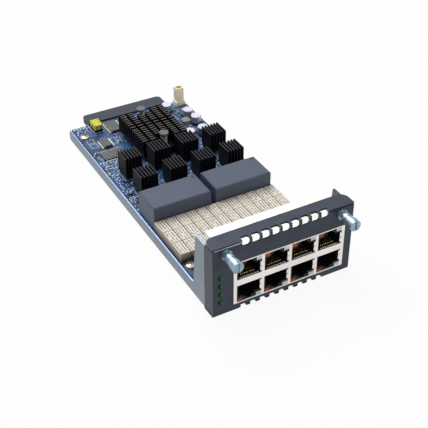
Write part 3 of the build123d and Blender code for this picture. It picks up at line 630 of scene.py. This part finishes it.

# Fold highlight: a thin strip of bright metal finish just below the fold and left of the row of vents. It is
# a painted highlight along the fold, not a part of the sheet.
fold_highlight_finish = rolled("painted fold highlight", (188, 194, 204), (226, 230, 238), 0.3, 0.45, metallic=0.5)
first_vent = -23.6 * mm
low = (panel_low[0] + 0.9 * mm, panel_low[1] - 0.04 * mm, panel_high[2] - 1.3 * mm)
high = (first_vent, panel_low[1] + 0.2 * mm, panel_high[2] - 0.93 * mm)
fixed(block("painted_fold_highlight", low, high, fold_highlight_finish, 0.03 * mm))

# Jack block: a tinned sheet shield over a black moulded housing. Gold contact wires lie along the inner
# wall of every cavity, and an amber and a clear light pipe fill the outer corners of each window.
shield_tin = rolled("tinned shield", (228, 223, 218), (250, 246, 242), 0.26, 0.42, metallic=0.7)
wear(shield_tin, "jack_shield")
housing_plastic = grained(
    "black moulding", (10, 10, 13), (20, 20, 24), 2600.0, 0.4, 0.55, bump=0.2, gloss=0.25
)
wear(housing_plastic, "jack_housing", "status_holder", "jumper_header")
contact_gold = rolled("contact gold", (206, 170, 104), (244, 216, 156), 0.2, 0.35, metallic=0.9)
wear(contact_gold, "port_contacts", "jumper_pins")
nickel = rolled("nickel steel", (158, 164, 172), (204, 208, 214), 0.2, 0.36, metallic=1.0)
wear(nickel, "jack_tails")
amber_lens = grained("amber lens", (140, 58, 32), (190, 98, 62), 1500.0, 0.25, 0.4, gloss=0.15)
wear(amber_lens, "port_leds_amber")
clear_lens = grained("clear lens", (196, 200, 198), (250, 250, 246), 1500.0, 0.15, 0.3, coat=0.3)
wear(clear_lens, "port_leds_clear")

shield_low, shield_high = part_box("jack_shield")
block_middle = (shield_low[2] + shield_high[2]) / 2
port_count = 4
end_margin = 1.0 * mm
port_pitch = (shield_high[0] - shield_low[0] - 2 * end_margin) / port_count
port_centres = [shield_low[0] + end_margin + (index + 0.5) * port_pitch for index in range(port_count)]
mouth_half = 5.9 * mm
mouth_floor = 2.2 * mm


# Shield fingers: two small sprung lugs, bent from the shield's own sheet, at the right of every window. A
# folded lip runs along the inner edge of every mouth.
def strip(name, path, rise, thickness, material):
    """A sheet strip in plan that rises from z 0: a plane over the first stretch of the path, its last edge
    extruded along the rest, then given its thickness."""
    (start_x, start_y), (next_x, next_y) = path[:2]
    along_x, along_y = next_x - start_x, next_y - start_y
    bpy.ops.object.select_all(action="DESELECT")
    bpy.ops.mesh.primitive_plane_add(
        size=1.0,
        location=((start_x + next_x) / 2, (start_y + next_y) / 2, rise / 2),
        rotation=(math.pi / 2, 0, math.atan2(along_y, along_x)),
    )
    bpy.context.object.scale = (math.hypot(along_x, along_y), rise, 1.0)
    made = settled(name, material)
    bpy.ops.object.mode_set(mode="EDIT")
    bpy.ops.mesh.select_mode(type="EDGE")
    for (x, y), (far_x, far_y) in zip(path[1:], path[2:]):
        bpy.ops.mesh.select_all(action="DESELECT")
        bpy.ops.object.mode_set(mode="OBJECT")
        for edge in made.data.edges:
            ends = [made.data.vertices[index].co for index in edge.vertices]
            edge.select = all(math.hypot(end.x - x, end.y - y) < 0.001 * mm for end in ends)
        bpy.ops.object.mode_set(mode="EDIT")
        bpy.ops.mesh.extrude_region_move(TRANSFORM_OT_translate={"value": (far_x - x, far_y - y, 0)})
    bpy.ops.mesh.select_mode(type="FACE")
    bpy.ops.object.mode_set(mode="OBJECT")
    sheet = made.modifiers.new("sheet", "SOLIDIFY")
    sheet.thickness = thickness
    sheet.offset = 0.0
    bpy.ops.object.modifier_apply(modifier=sheet.name)
    return made


finger_rise = 2.5 * mm
finger_feet = (0.7 * mm, 3.6 * mm)
front_face = shield_low[1]
leaf_path = [
    (mouth_half + 0.9 * mm, front_face + 0.1 * mm),
    (mouth_half + 0.45 * mm, front_face + 0.14 * mm),
    (mouth_half + 0.2 * mm, front_face + 0.3 * mm),
]
leaf = strip("leaf", leaf_path, finger_rise, 0.14 * mm, shield_tin)
leaf_places, lips = [], []
for side in (-1, 1):
    for above in finger_feet:
        foot = block_middle + side * (mouth_floor + above) - (finger_rise if side < 0 else 0)
        leaf_places += [(x, 0, foot, 0) for x in port_centres]
    lip_low = block_middle + side * (mouth_floor + 0.06 * mm) - 0.05 * mm
    for x in port_centres:
        low = (x - mouth_half + 0.7 * mm, front_face + 0.45 * mm, lip_low)
        high = (x + mouth_half - 0.7 * mm, front_face + 1.0 * mm, lip_low + 0.1 * mm)
        lips.append(block("lip", low, high, shield_tin, 0.03 * mm))
fixed(joined("shield_fingers", [repeated("leaves", leaf, leaf_places), *lips]))

# Contact combs: a low bar near the front of every upper mouth, moulded in the housing's black plastic. The
# gold tips of the eight wires lie on it.
comb_parts = []
comb_floor = block_middle + mouth_floor
for x in port_centres:
    low = (x - 4.3 * mm, front_face + 2.6 * mm, comb_floor + 0.02 * mm)
    high = (x + 4.3 * mm, front_face + 3.6 * mm, comb_floor + 0.3 * mm)
    comb_parts.append(block("comb bar", low, high, housing_plastic, 0.05 * mm))
fixed(joined("contact_comb_bars", comb_parts))
gold_tip = block("tip", (-0.24 * mm, 0, 0), (0.24 * mm, 0.5 * mm, 0.55 * mm), contact_gold, 0.08 * mm)
contact_pitch = 1.02 * mm
tip_places = [
    (x + (step - 3.5) * contact_pitch, front_face + 2.2 * mm, comb_floor + 0.06 * mm, 0)
    for x in port_centres
    for step in range(8)
]
fixed(repeated("contact_tips", gold_tip, tip_places))

# Shield back plate: a second tinned sheet, clipped over the rear of the jack block. A shallow panel is
# stamped in its middle.
plate_low = (shield_low[0] + 1.2 * mm, shield_high[1], board_top + 6.4 * mm)
plate_high = (shield_high[0] - 1.2 * mm, shield_high[1] + 0.35 * mm, shield_high[2] - 0.8 * mm)
back_plate = block("shield_back_plate", plate_low, plate_high, shield_tin, 0.1 * mm)
bpy.ops.object.mode_set(mode="EDIT")
bpy.ops.mesh.select_mode(type="FACE")
bpy.ops.mesh.select_all(action="DESELECT")
bpy.ops.object.mode_set(mode="OBJECT")
for face in back_plate.data.polygons:
    face.select = face.normal.y > 0.9
bpy.ops.object.mode_set(mode="EDIT")
stamp_margin, stamp_slope, stamp_depth = 1.6 * mm, 0.2 * mm, 0.15 * mm
bpy.ops.mesh.inset(thickness=stamp_margin)
bpy.ops.mesh.inset(thickness=stamp_slope, depth=-stamp_depth)
bpy.ops.object.mode_set(mode="OBJECT")
fixed(back_plate)

# Status lights: four domed lenses of dark green plastic, held in one moulded holder behind the panel. Each
# stands in a fine dark collar. A painted highlight turns each lens paler green towards its right.
lights_low, lights_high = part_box("status_lights")
lens_radius = (lights_high[0] - lights_low[0]) / 2
lens_middle = (lights_low[0] + lights_high[0]) / 2
# A painted highlight: across each lens the colour runs from nearly black to pale green towards the right.
lens_highlight, given, put = effect("painted lens highlight", ("Plain", "Bright"), outputs=("Colour", "Roughness"))
highlight_start, highlight_full = lens_middle - 0.3 * lens_radius, lens_middle + 0.8 * lens_radius
lens_cloud = noise(given["Place"], 1400.0, 2.0)
lens_side = spread(axes_of(given["Place"])["X"], highlight_start, highlight_full)
lens_highlight_share = product(lens_side, spread(lens_cloud, 0.3, 0.6, 0.4, 1.0))
fill(put["Colour"], blend(lens_highlight_share, given["Plain"], given["Bright"]))
fill(put["Roughness"], spread(lens_cloud, 0.3, 0.7, 0.15, 0.3))
lens_tones = {"Plain": tone(2, 10, 6), "Bright": tone(50, 150, 88)}
green_lens = material_with("green lens", lens_highlight, lens_tones, gloss=0.25)
wear(green_lens, "status_lights")
light_count = 4
light_pitch = (lights_high[2] - lights_low[2] - 2 * lens_radius) / (light_count - 1)
lowest_light = lights_low[2] + lens_radius
bpy.ops.object.select_all(action="DESELECT")
bpy.ops.mesh.primitive_torus_add(
    major_segments=32,
    minor_segments=8,
    major_radius=lens_radius + 0.16 * mm,
    minor_radius=0.15 * mm,
    rotation=(math.pi / 2, 0, 0),
)
collar = settled("collar", housing_plastic)
collar_places = [
    (lens_middle, panel_low[1] - 0.02 * mm, lowest_light + step * light_pitch, 0)
    for step in range(light_count)
]
fixed(repeated("status_collars", collar, collar_places))

# Captive thumbscrews: turned steel under a bluish nickel plate, in pressed ferrules. The lathe has left
# fine rings along the screw's length.
turned_rings, given, put = effect("turned rings", ("Plain", "Bright"), ("Smooth", "Rough"))
rings = noise(stretched(given["Place"], (150, 6500, 150)), 1.0, 2.0)
ring_share = spread(rings, 0.35, 0.65)
fill(put["Colour"], blend(ring_share, given["Plain"], given["Bright"]))
roughen(given, put, ring_share)
fill(put["Height"], rings)
plate_look = {"Plain": tone(116, 138, 154), "Bright": tone(166, 186, 200), "Smooth": 0.24, "Rough": 0.4}
screw_plate = material_with("thumbscrew plate", turned_rings, plate_look, metallic=0.75, bump=0.2)
for side in ("left", "right"):
    wear(screw_plate, f"{side}_thumbscrew", f"{side}_ferrule", f"{side}_retaining_ring")

# Thumbscrew seams: a plain band round the neck, a dark line where head and collar meet, and a raised floor
# in the slot. They are turned and cut with the screw, so they ride on it.
for side in ("left", "right"):
    screw_low, screw_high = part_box(f"{side}_thumbscrew")
    axis_x, _, axis_z = middle_of(screw_low, screw_high)
    for name, radius, start, length, skin in (
        ("band", 2.62 * mm, 3.55 * mm, 0.8 * mm, screw_plate),
        ("seam", 2.66 * mm, 5.9 * mm, 0.3 * mm, housing_plastic),
    ):
        place = (axis_x, screw_low[1] + start + length / 2, axis_z)
        pose = {"location": place, "rotation": (math.pi / 2, 0, 0)}
        ring = disc(f"{side}_screw_{name}", 40, radius, length, skin, 0.04 * mm, **pose)
        fixed(ring, f"{side}_screw")
    low = (axis_x - 0.43 * mm, screw_low[1] + 0.5 * mm, axis_z - 2.6 * mm)
    high = (axis_x + 0.43 * mm, screw_low[1] + 1.35 * mm, axis_z + 2.6 * mm)
    slot_floor = block(f"{side}_slot_floor", low, high, screw_plate, 0.05 * mm)
    fixed(slot_floor, f"{side}_screw")


# Screw threads: a rolled thread on the hidden end of each thumbscrew, of the same plated steel. It is one
# helix, wound round the plain core.
def wound(name, sides, radius, axis, rise, turns, material, **pose):
    """A wire's outline at its pose, wound round the Y or the Z axis as a helix with closed ends."""
    bpy.ops.object.select_all(action="DESELECT")
    bpy.ops.mesh.primitive_circle_add(vertices=sides, radius=radius, fill_type="NOTHING", **pose)
    made = settled(name, material)
    winding = made.modifiers.new("winding", "SCREW")
    winding.axis = axis
    winding.screw_offset = rise
    winding.iterations = turns
    winding.steps = 20
    winding.render_steps = 20
    bpy.ops.object.modifier_apply(modifier=winding.name)
    bpy.ops.object.mode_set(mode="EDIT")
    bpy.ops.mesh.select_all(action="SELECT")
    bpy.ops.mesh.remove_doubles(threshold=0.002 * mm)
    bpy.ops.mesh.select_all(action="DESELECT")
    bpy.ops.mesh.select_mode(type="EDGE")
    bpy.ops.mesh.select_non_manifold()
    bpy.ops.mesh.edge_face_add()
    bpy.ops.mesh.select_all(action="SELECT")
    bpy.ops.mesh.normals_make_consistent(inside=False)
    bpy.ops.mesh.select_mode(type="FACE")
    bpy.ops.object.mode_set(mode="OBJECT")
    return made


thread_length = 6.0 * mm
thread_pitch = 0.5 * mm
thread_turns = round(thread_length / thread_pitch)
thread_pose = {"location": (1.42 * mm, 0, 0), "rotation": (math.pi / 2, 0, math.pi / 2)}
for side in ("left", "right"):
    screw_low, screw_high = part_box(f"{side}_thumbscrew")
    axis_x, _, axis_z = middle_of(screw_low, screw_high)
    name = f"{side}_screw_thread"
    thread = wound(name, 3, 0.16 * mm, "Y", thread_pitch, thread_turns, screw_plate, **thread_pose)
    thread.location = (axis_x, screw_high[1] - thread_length - 0.3 * mm, axis_z)
    only(thread)
    fixed(settled(name), f"{side}_screw")

# Relays: sealed cases of cream plastic in three rows of twelve. Short grey bars stand in for the printed
# lines on their tops. A painted shade darkens the cases towards their feet and near the borders of each
# case.
relay_low, relay_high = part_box("relays_front")
rear_row_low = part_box("relays_rear")[0]
relay_columns = 12
relay_gap = 0.3 * mm
relay_pitch = (relay_high[0] - relay_low[0] + relay_gap) / relay_columns
row_pitch = (rear_row_low[1] - relay_low[1]) / 2
relay_print, given, put = effect("relay print", ("Plain", "Bright", "Ink", "Case shade"))


def along_case(value, start, pitch):
    """How far along its own case a place lies, from 0 to 1."""
    return work_out("FRACT", work_out("DIVIDE", work_out("SUBTRACT", value, start), pitch))


def near_edge(value, reach):
    """1 within a reach of either end of a case, 0 between."""
    return work_out("LESS_THAN", work_out("PINGPONG", value, 0.5), reach)


place = axes_of(given["Place"])
case_across = along_case(place["X"], relay_low[0] - relay_gap / 2, relay_pitch)
case_back = along_case(place["Y"], relay_low[1], row_pitch)
printed_lines = work_out("GREATER_THAN", work_out("FRACT", work_out("MULTIPLY", case_across, 4.0)), 0.52)
strokes = work_out("GREATER_THAN", noise(stretched(given["Place"], (700, 1500, 1)), 1.0, 1.0), 0.46)
in_length = work_out("GREATER_THAN", work_out("PINGPONG", case_back, 0.5), 0.1)
on_top = work_out("GREATER_THAN", place["Z"], relay_high[2] - 0.05 * mm)
inked = product(printed_lines, strokes, in_length, on_top)
case_grain = noise(given["Place"], 1800.0, 2.0)
case_tint = spread(case_grain, 0.35, 0.7)
case_colour = blend(case_tint, given["Plain"], given["Bright"])
# A painted shade: the cases darken towards the board and close to the edges between them.
foot_shade_share = spread(place["Z"], board_top + 1.2 * mm, relay_high[2] - 0.1 * mm, 1.0, 0.0)
case_colour = blend(foot_shade_share, case_colour, given["Case shade"])
case_colour = blend(product(inked, 0.85), case_colour, given["Ink"])
column_edge_shade = product(near_edge(case_across, 0.04), 0.5)
row_edge_shade = product(near_edge(case_back, 0.022), 0.35)
case_colour = blend(work_out("MAXIMUM", column_edge_shade, row_edge_shade), case_colour, given["Case shade"])
fill(put["Colour"], case_colour)
fill(put["Roughness"], spread(case_tint, 0.0, 1.0, 0.38, 0.5))
fill(put["Height"], case_grain)
case_tones = {"Plain": (220, 212, 199), "Bright": (234, 228, 216), "Ink": (96, 82, 66), "Case shade": (84, 70, 54)}
case_values = {socket: tone(*seen) for socket, seen in case_tones.items()}
relay_case = material_with("relay case", relay_print, case_values, bump=0.15)
wear(relay_case, "relays_front", "relays_middle", "relays_rear")

# Magnetics: two moulded boxes, potted in black with a soft grey shine. Tinned leads run in rows along both
# long sides.
potted = grained("potted case", (76, 84, 100), (86, 95, 112), 2200.0, 0.4, 0.5, bump=0.2, gloss=0.2)
wear(potted, "magnetics_left", "magnetics_right")
wear(nickel, "magnetics_leads")

# Heat sinks: black anodised aluminium extrusions that sit on their chips; push pins hold the main one. A
# painted highlight makes the upward tips of the fins a paler grey.
tip_depth = 0.2 * mm
port_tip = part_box("port_heat_sink_1")[1][2] - tip_depth
main_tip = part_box("main_heat_sink")[1][2] - tip_depth
for name, above, tip_highlight_tone, sinks in (
    ("black anodising", port_tip, (44, 43, 48), [f"port_heat_sink_{number}" for number in range(1, 9)]),
    ("main sink anodising", main_tip, (86, 80, 80), ["main_heat_sink"]),
):
    anodised = rolled(name, (10, 10, 13), (22, 21, 25), 0.45, 0.6, gloss=0.1)
    repaint(anodised, top_highlight, Above=above, Tip=tone(*tip_highlight_tone))
    wear(anodised, *sinks)

# Push pins: moulded grey nylon pins that hold the main heat sink. A spring of nickel-plated wire is wound
# round each, between its head and the sink's plate.
grey_nylon = grained("grey nylon", (76, 79, 84), (96, 99, 104), 1500.0, 0.4, 0.55)
wear(grey_nylon, "push_pins")
pins_low, pins_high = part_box("push_pins")
pin_head_radius = (pins_high[0] - pins_low[0]) / 2
pin_axis = (pins_low[0] + pins_high[0]) / 2
spring_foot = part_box("main_heat_sink")[0][2] + 2.5 * mm
spring_length = pins_high[2] - 1.3 * mm - spring_foot
coil_count = 7
coil_pose = {"location": (1.75 * mm, 0, 0), "rotation": (math.pi / 2, 0, 0)}
spring = wound("spring", 6, 0.2 * mm, "Z", spring_length / coil_count, coil_count, nickel, **coil_pose)
spring_places = [
    (pin_axis, y, spring_foot, 0) for y in (pins_low[1] + pin_head_radius, pins_high[1] - pin_head_radius)
]
fixed(repeated("push_pin_springs", spring, spring_places))

# Chips: black moulded bodies with a small round mark at one corner. Their gull-wing leads run out level,
# bend down and end flat on tinned pads. A painted shade colours each lead's bend dark, and its level
# shoulder and foot pad are pale, partly the tin's own colour and partly painted light.
chip_epoxy = grained("chip epoxy", (54, 56, 61), (75, 77, 82), 3000.0, 0.36, 0.5)
wear(chip_epoxy, "port_controllers", "switch_chip", "logic_chip", "memory_chip", "bus_chip")
lead_reach = 0.9 * mm
lead_across = 0.3 * mm
lead_pitch = 0.65 * mm
lead_level = 0.8 * mm
lead_sheet = 0.14 * mm
lead_path = [
    (-0.1 * mm, lead_level),
    (0.22 * mm, lead_level),
    (0.42 * mm, lead_sheet / 2 + 0.02 * mm),
    (lead_reach, lead_sheet / 2 + 0.01 * mm),
]
# A painted light and shade on one tin: the bend is coloured dark, the shoulder and the pad pale.
lead_painted_shade = grained("lead in painted shade", (44, 44, 48), (70, 70, 76), 2500.0, 0.4, 0.55)
lead_painted_light = grained("lead in painted light", (206, 200, 172), (244, 240, 222), 2500.0, 0.3, 0.45, metallic=0.4)
bent_lead = strip("bent lead", lead_path, lead_across, lead_sheet, lead_painted_shade)
bent_lead.rotation_euler.x = math.pi / 2
bent_lead.location.y = lead_across / 2
only(bent_lead)
settled("bent lead")
low, high = (-0.05 * mm, -0.2 * mm, lead_level), (0.3 * mm, 0.2 * mm, lead_level + 0.12 * mm)
lead_shoulder = block("shoulder", low, high, lead_painted_light, 0.03 * mm)
low, high = (lead_reach - 0.15 * mm, -0.22 * mm, 0), (lead_reach + 0.65 * mm, 0.22 * mm, 0.2 * mm)
lead_pad = block("lead pad", low, high, lead_painted_light, 0.04 * mm)
gull_lead = joined("gull lead", [bent_lead, lead_shoulder, lead_pad])
lead_places, mark_places = [], []
for chip, count, along in (("logic_chip", 14, "Y"), ("bus_chip", 18, "Y"), ("memory_chip", 21, "X")):
    chip_low, chip_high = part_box(chip)
    mark_places.append((chip_low[0] + 1.1 * mm, chip_low[1] + 1.1 * mm, chip_high[2], 0))
    middle_x, middle_y, _ = middle_of(chip_low, chip_high)
    for step in range(count):
        offset = (step - (count - 1) / 2) * lead_pitch
        if along == "Y":
            lead_places.append((chip_high[0], middle_y + offset, board_top, 0))
            lead_places.append((chip_low[0], middle_y + offset, board_top, 2))
        else:
            lead_places.append((middle_x + offset, chip_high[1], board_top, 1))
            lead_places.append((middle_x + offset, chip_low[1], board_top, 3))
leads = fixed(repeated("gull_wing_leads", gull_lead, lead_places))
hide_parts("chip_leads")
first_pin_mark = disc("first pin mark", 20, 0.45 * mm, 0.03 * mm, resistor_black, 0.01 * mm)
fixed(repeated("first_pin_marks", first_pin_mark, mark_places))

# Capacitors: drawn cans of plain aluminium on black moulded bases. The light catches their flat tops, which
# are a little paler than their sides.
can_skin = grained("can aluminium", (150, 154, 160), (178, 181, 186), 1500.0, 0.28, 0.42, metallic=0.6)
can_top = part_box("capacitor_cans")[1][2] - tip_depth
repaint(can_skin, top_highlight, Above=can_top, Tip=tone(208, 206, 222))
wear(can_skin, "capacitor_cans")
wear(housing_plastic, "capacitor_bases")

# Power parts: a choke moulded in grey ferrite, and a header of cream nylon with its tinned pins. All are
# soldered to the board.
ferrite = grained("grey ferrite", (118, 116, 112), (142, 140, 136), 2500.0, 0.5, 0.7)
wear(ferrite, "power_inductor")
header_nylon = grained("header nylon", (255, 232, 190), (255, 242, 214), 1500.0, 0.3, 0.45, gloss=0.9)
wear(header_nylon, "power_header")
wear(nickel, "power_pins", "chip_leads")

# Jumpers: moulded yellow caps, pushed over gold pins. Dark wells with gold clips in them open in the front
# and left faces, and low grips stand on the tops.
yellow_cap = grained("yellow cap", (222, 222, 48), (240, 240, 90), 1500.0, 0.4, 0.55)
wear(yellow_cap, "jumper_caps")
caps_low, caps_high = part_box("jumper_caps")
jumper_pitch = 2.54 * mm
column_middle, row_middle, _ = middle_of(caps_low, caps_high)
dark_wells, gold_clips, grip_walls = [], [], []


def open_well(axis, centre, well_half, clip_half):
    """A dark well and its gold clip in the front or left face; the axis runs along that face."""
    for parts, half, out, depth, foot, head, material in (
        (dark_wells, well_half, 0.06 * mm, 0.1 * mm, 0.5 * mm, 0.5 * mm, resistor_black),
        (gold_clips, clip_half, 0.12 * mm, 0.05 * mm, 0.1 * mm, 0.8 * mm, contact_gold),
    ):
        low = [caps_low[0] - out, caps_low[1] - out, caps_low[2] + foot]
        high = [caps_low[0] + depth, caps_low[1] + depth, caps_high[2] - head]
        low[axis], high[axis] = centre - half, centre + half
        parts.append(block("opening", low, high, material, 0.04 * mm))


for column in (-0.5, 0.5):
    open_well(0, column_middle + column * jumper_pitch, 0.45 * mm, 0.2 * mm)
for row in (-1, 0, 1):
    y = row_middle + row * jumper_pitch
    open_well(1, y, 0.4 * mm, 0.18 * mm)
    for x_low, x_high in (
        (caps_low[0] + 0.1 * mm, caps_low[0] + 0.5 * mm),
        (column_middle - 0.2 * mm, column_middle + 0.2 * mm),
        (caps_high[0] - 0.5 * mm, caps_high[0] - 0.1 * mm),
    ):
        low = (x_low, y - 0.8 * mm, caps_high[2] - 0.05 * mm)
        high = (x_high, y + 0.8 * mm, caps_high[2] + 0.6 * mm)
        grip_walls.append(block("grip", low, high, yellow_cap, 0.1 * mm))
fixed(joined("jumper_wells", dark_wells))
fixed(joined("jumper_clips", gold_clips))
fixed(joined("jumper_grips", grip_walls))
